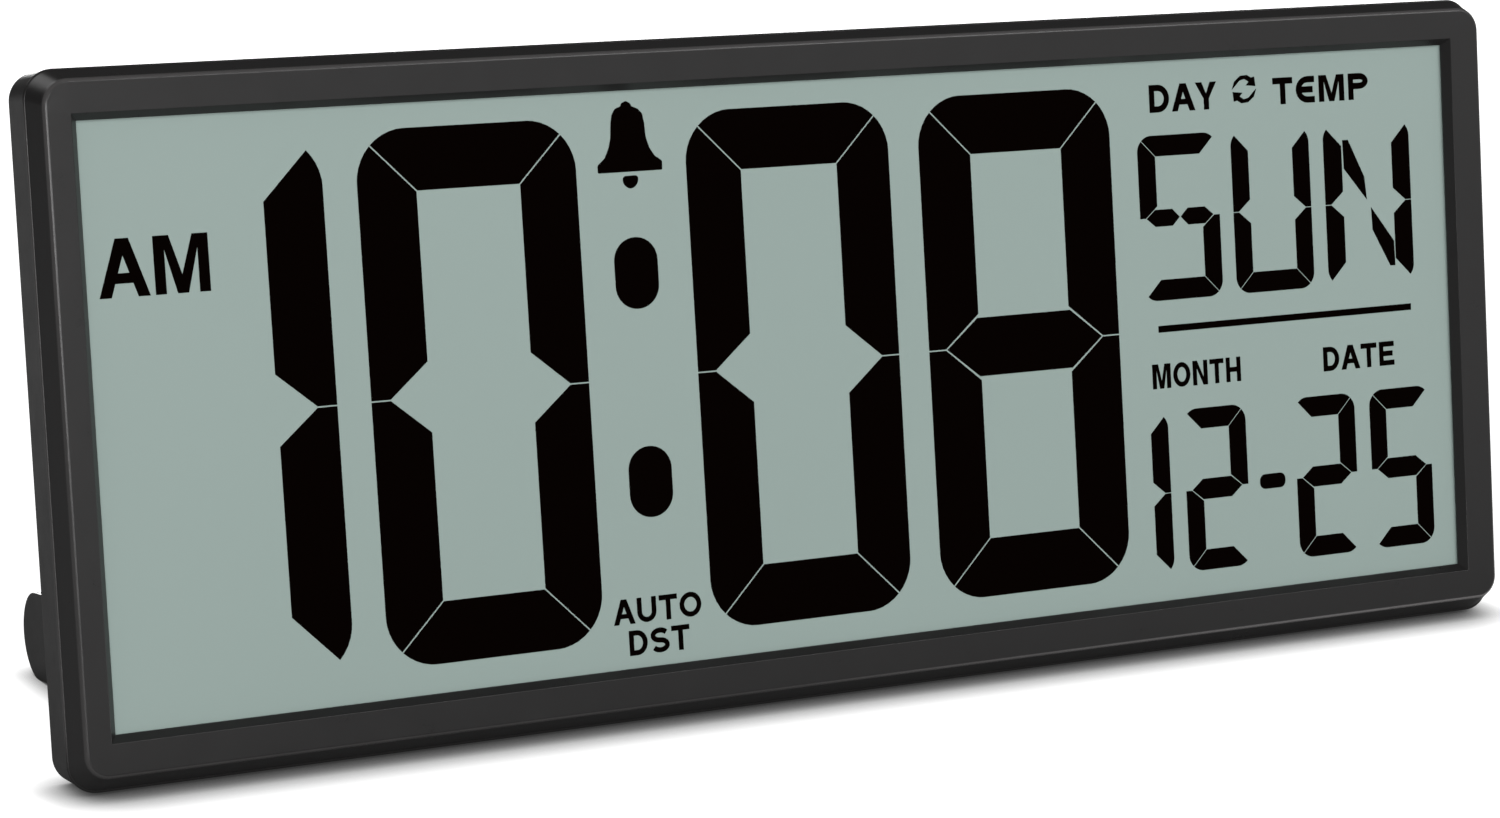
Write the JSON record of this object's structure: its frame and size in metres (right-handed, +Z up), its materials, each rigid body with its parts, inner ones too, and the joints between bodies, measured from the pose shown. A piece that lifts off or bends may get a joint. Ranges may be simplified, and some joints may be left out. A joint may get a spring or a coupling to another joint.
{
  "type": "digital day clock",
  "caption": "Wide wedge-framed digital day clock with a large LCD, fold-out stand legs, a raised rear housing with battery door, push buttons, a slide switch and wall hangers.",
  "frame": {"origin": "on the ground plane, in the middle of the standing clock's bounding box from side to side and from front to back", "axes": "+X to the right when the display is faced, +Y to the back, +Z up; the casing leans back by about 7.4 degrees on its lower rear edge and both legs"},
  "size_m": [0.36, 0.1074, 0.1476],
  "materials": {
    "casing": "fine satin texture",
    "glass": "clear",
    "polariser": "grey-green film",
    "reflector": "satin silver-grey film",
    "foam": "matte foam",
    "contact_rubber": "matte",
    "holder": "matte moulded",
    "circuit_board": "green solder mask",
    "component_black": "matte",
    "capacitor_sleeve": "shiny sleeve",
    "cell": "plain sleeve",
    "plunger": "moulded",
    "button": "satin",
    "wire_red": "smooth",
    "wire_black": "smooth",
    "ribbon": "smooth",
    "brass": "rolled",
    "ceramic": "silvered ceramic",
    "steel": "plated"
  },
  "bodies": {
    "casing": {"front_frame": "casing", "lcd_gasket": "foam", "front_polariser": "polariser", "front_glass": "glass", "rear_glass": "glass", "rear_reflector": "reflector", "zebra_strip_left": "contact_rubber", "zebra_strip_right": "contact_rubber", "lcd_holder": "holder", "holder_screws": "steel", "main_board": "circuit_board", "board_to_holder_screws": "steel", "driver_chip": "component_black", "clock_crystal": "steel", "capacitor_1": "capacitor_sleeve", "capacitor_2": "capacitor_sleeve", "chip_resistors": "component_black", "temperature_sensor": "component_black", "rear_cover": "casing", "casing_screws": "steel", "battery_1": "cell", "battery_2": "cell", "battery_3": "cell", "battery_4": "cell", "battery_contacts": "steel", "battery_springs": "steel", "power_wires": "wire_red", "button_board": "circuit_board", "button_board_screws": "steel", "tact_switch_1": "component_black", "tact_switch_2": "component_black", "tact_switch_3": "component_black", "tact_switch_4": "component_black", "tact_switch_5": "component_black", "slide_switch": "steel", "ribbon_cable": "ribbon", "buzzer_disc": "brass", "buzzer_ceramic": "ceramic", "buzzer_wires": "wire_black", "leg_pin_left": "steel", "leg_pin_right": "steel"},
    "leg_left": {"leg_left": "casing"},
    "leg_right": {"leg_right": "casing"},
    "battery_door": {"battery_door": "casing"},
    "dst_switch_knob": {"dst_switch_knob": "button"},
    "button_mode": {"button_mode": "button", "plunger_1": "plunger"},
    "button_up": {"button_up": "button", "plunger_2": "plunger"},
    "button_down": {"button_down": "button", "plunger_3": "plunger"},
    "button_alarm": {"button_alarm": "button", "plunger_4": "plunger"},
    "button_temperature": {"button_temperature": "button", "plunger_5": "plunger"}
  },
  "joints": [
    {"name": "leg_left_hinge", "type": "hinge", "parent": "casing", "child": "leg_left", "pos_m": [-0.155, -0.03531, 0.02017], "axis": [0, 0.1276, 0.9918], "range_deg": [-90, 0]},
    {"name": "leg_right_hinge", "type": "hinge", "parent": "casing", "child": "leg_right", "pos_m": [0.155, -0.03531, 0.02017], "axis": [0, 0.1276, 0.9918], "range_deg": [0, 90]},
    {"name": "battery_door_hinge", "type": "hinge", "parent": "casing", "child": "battery_door", "pos_m": [0, -0.01897, 0.04771], "axis": [-1, 0, 0], "range_deg": [0, 90]},
    {"name": "dst_switch_slide", "type": "slide", "parent": "casing", "child": "dst_switch_knob", "axis": [0, 0.1276, 0.9918], "range_m": [0, 0.0025]},
    {"name": "button_mode_press", "type": "slide", "parent": "casing", "child": "button_mode", "axis": [0, -0.9918, 0.1276], "range_m": [0, 0.0005], "stiffness_N_per_m": 1000, "springref_m": -0.0005},
    {"name": "button_up_press", "type": "slide", "parent": "casing", "child": "button_up", "axis": [0, -0.9918, 0.1276], "range_m": [0, 0.0005], "stiffness_N_per_m": 1000, "springref_m": -0.0005},
    {"name": "button_down_press", "type": "slide", "parent": "casing", "child": "button_down", "axis": [0, -0.9918, 0.1276], "range_m": [0, 0.0005], "stiffness_N_per_m": 1000, "springref_m": -0.0005},
    {"name": "button_alarm_press", "type": "slide", "parent": "casing", "child": "button_alarm", "axis": [0, -0.9918, 0.1276], "range_m": [0, 0.0005], "stiffness_N_per_m": 1000, "springref_m": -0.0005},
    {"name": "button_temperature_press", "type": "slide", "parent": "casing", "child": "button_temperature", "axis": [0, -0.9918, 0.1276], "range_m": [0, 0.0005], "stiffness_N_per_m": 1000, "springref_m": -0.0005}
  ]
}
